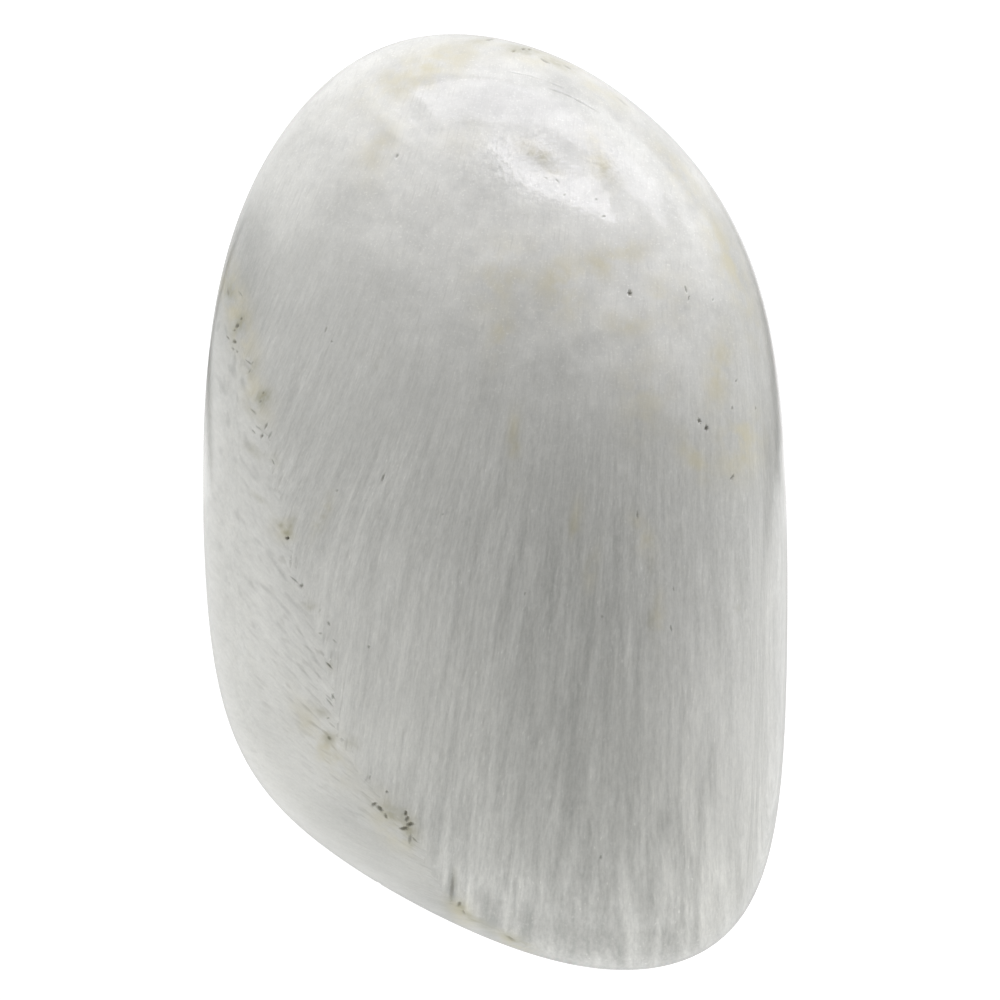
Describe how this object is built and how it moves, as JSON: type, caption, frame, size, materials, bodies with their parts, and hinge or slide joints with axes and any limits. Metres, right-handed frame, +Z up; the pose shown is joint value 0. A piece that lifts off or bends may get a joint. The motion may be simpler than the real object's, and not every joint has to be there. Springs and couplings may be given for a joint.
{
  "type": "scolecite palm stone",
  "caption": "Flat-backed, pillow-shaped polished pebble of white fibrous scolecite, domed at one end and ground slantwise at the other.",
  "frame": {"origin": "under the middle of the stone's bounding box, on the surface that it rests on", "axes": "+Y along the stone to its domed end, +Z up through its face, +X to the straighter long side"},
  "size_m": [0.0412, 0.066, 0.0275],
  "materials": {
    "scolecite": "white fibrous rock, ground and tumbled to a soft polish"
  },
  "bodies": {
    "root": {"palm_stone": "scolecite"}
  },
  "joints": []
}
